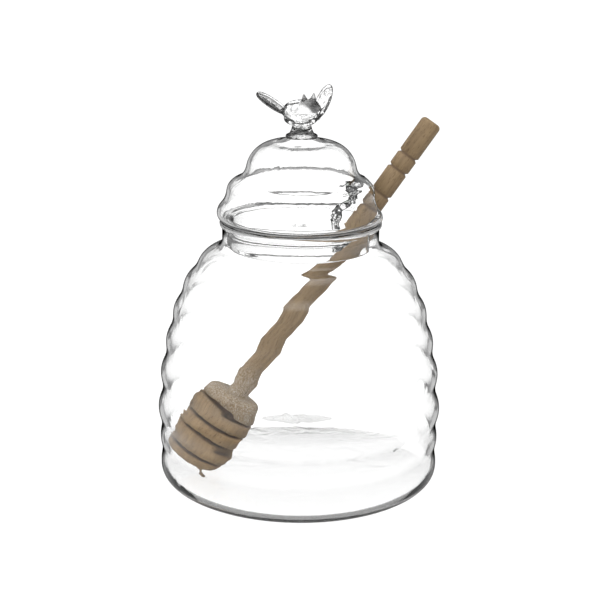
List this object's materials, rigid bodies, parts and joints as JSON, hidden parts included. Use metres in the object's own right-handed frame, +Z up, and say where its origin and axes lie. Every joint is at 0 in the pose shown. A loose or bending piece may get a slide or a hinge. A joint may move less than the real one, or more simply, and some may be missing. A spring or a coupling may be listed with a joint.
{
  "type": "honey pot with dipper",
  "caption": "Blown glass honey pot shaped like a beehive, with a notched glass lid, a bee for a knob and a turned wooden dipper leaning inside.",
  "frame": {"origin": "centre of the jar's flat base, where the jar's axis meets the table", "axes": "+Z up along the axis of the jar and the lid; +X towards the side where the lid's notch lets the dipper's handle out; -Y towards the viewer, who faces the bee's head"},
  "size_m": [0.107, 0.107, 0.1498],
  "materials": {
    "clear_glass": "fire-polished, clear and colourless",
    "lid_glass": "fire-polished, clear and colourless",
    "beech": "turned and sanded, unvarnished, fine straight grain"
  },
  "bodies": {
    "root": {"jar": "clear_glass", "lid": "lid_glass", "dipper": "beech"}
  },
  "joints": []
}
